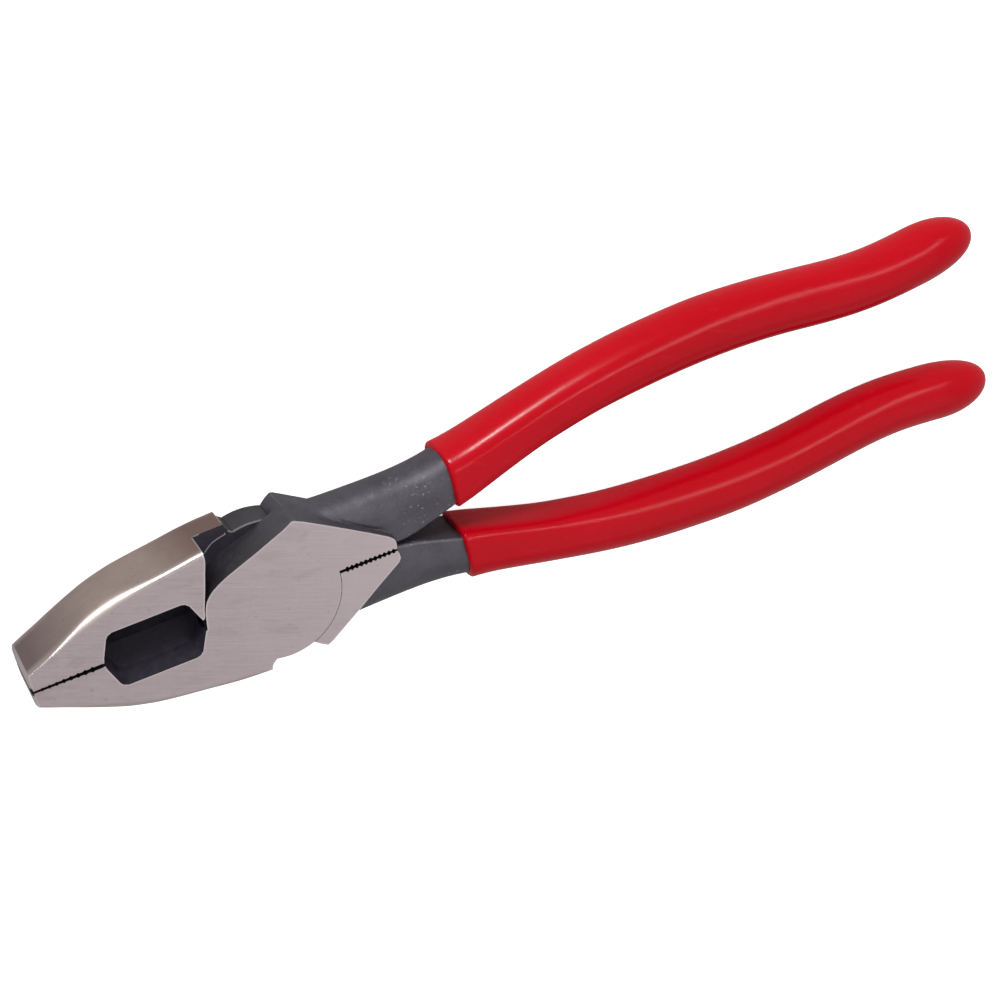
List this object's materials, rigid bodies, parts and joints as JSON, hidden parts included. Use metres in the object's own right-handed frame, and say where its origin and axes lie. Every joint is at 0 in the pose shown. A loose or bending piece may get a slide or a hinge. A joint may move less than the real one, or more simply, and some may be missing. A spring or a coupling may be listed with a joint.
{
  "type": "lineman pliers",
  "caption": "Lap-joint side-cutting pliers with toothed flat jaws, a knife window, a comb behind the joint and two curved dipped grips.",
  "frame": {"origin": "on the pivot axis at the back ground face", "axes": "+X along the handles away from the nose, +Y to the upper jaw's side, +Z out of the front ground face"},
  "size_m": [0.2166, 0.0494, 0.015],
  "materials": {
    "forged_steel": "forged black oxide with ground faces",
    "rivet_steel": "ground flush",
    "dipped_vinyl": "glossy dipped coat"
  },
  "bodies": {
    "lower_jaw_body": {"lower_jaw_half": "forged_steel", "pivot_rivet": "rivet_steel", "upper_handle_grip": "dipped_vinyl"},
    "upper_jaw_body": {"upper_jaw_half": "forged_steel", "lower_handle_grip": "dipped_vinyl"}
  },
  "joints": [
    {"name": "jaw_pivot", "type": "hinge", "parent": "lower_jaw_body", "child": "upper_jaw_body", "pos_m": [0, 0, 0.0075], "axis": [0, 0, -1], "range_deg": [0, 35]}
  ]
}
